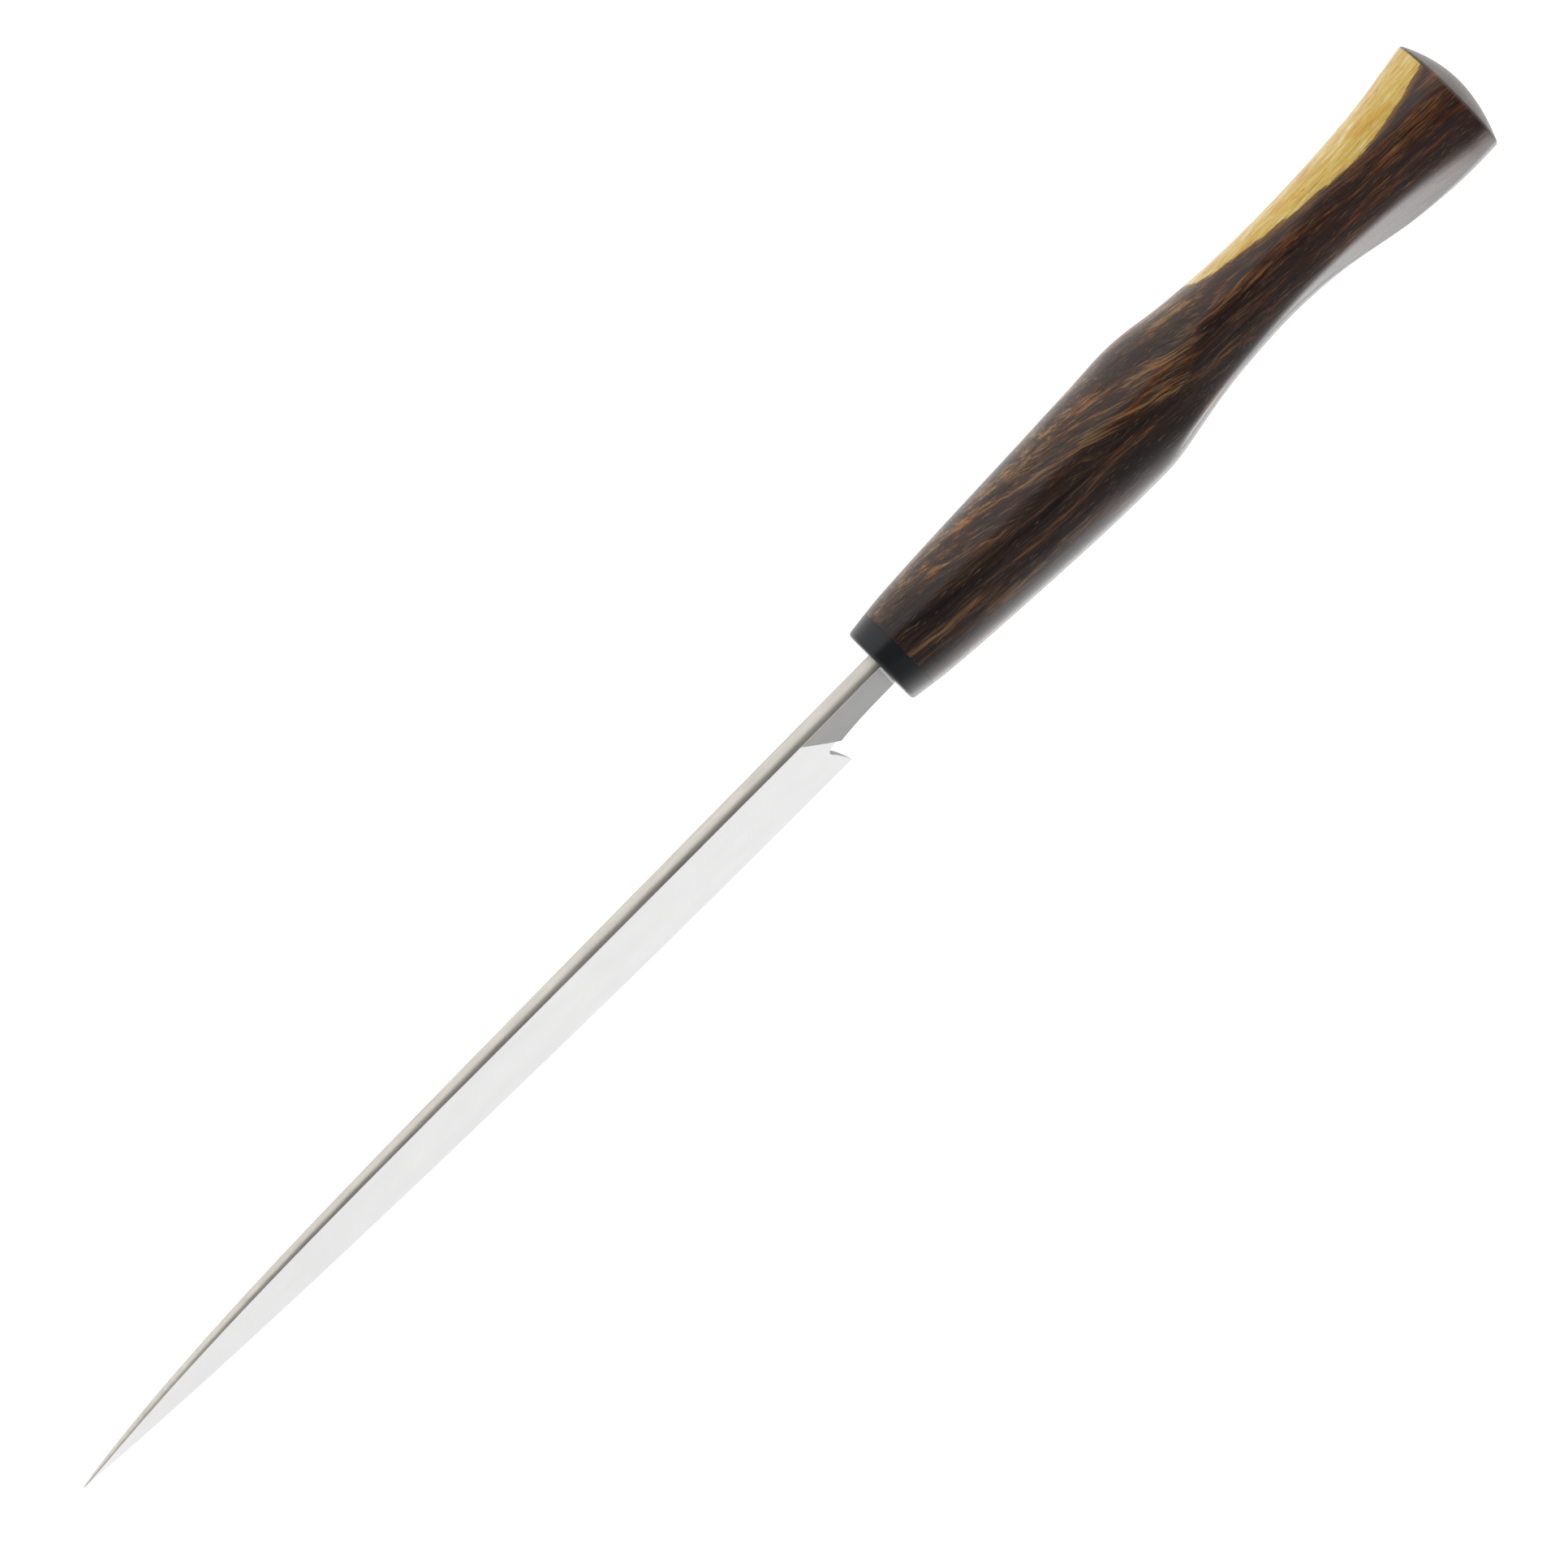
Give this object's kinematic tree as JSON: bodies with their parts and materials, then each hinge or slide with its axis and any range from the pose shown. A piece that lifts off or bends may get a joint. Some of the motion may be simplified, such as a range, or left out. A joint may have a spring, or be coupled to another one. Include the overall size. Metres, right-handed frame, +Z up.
{
  "type": "petty knife",
  "caption": "Petty knife with a slim ground blade on a hidden tang, a black ferrule and a waisted dark hardwood handle with a domed butt.",
  "frame": {"origin": "on the table, under the middle of the knife's bounding box", "axes": "+X from the butt to the tip, +Y from the spine to the cutting edge, +Z up from the right side, on which the knife lies, to the left side"},
  "size_m": [0.2968, 0.0346, 0.0203],
  "materials": {
    "blade_steel": "satin ground steel",
    "ferrule_black": "semi-gloss black composite or horn",
    "handle_wood": "oiled and polished, dark streaked heartwood with a strip of yellow sapwood",
    "bedding_epoxy": "cured adhesive",
    "pin_steel": "plain drawn steel"
  },
  "bodies": {
    "root": {"blade": "blade_steel", "ferrule": "ferrule_black", "handle_body": "handle_wood", "tang_bedding": "bedding_epoxy", "ferrule_pin_spine": "pin_steel", "ferrule_pin_belly": "pin_steel"}
  },
  "joints": []
}
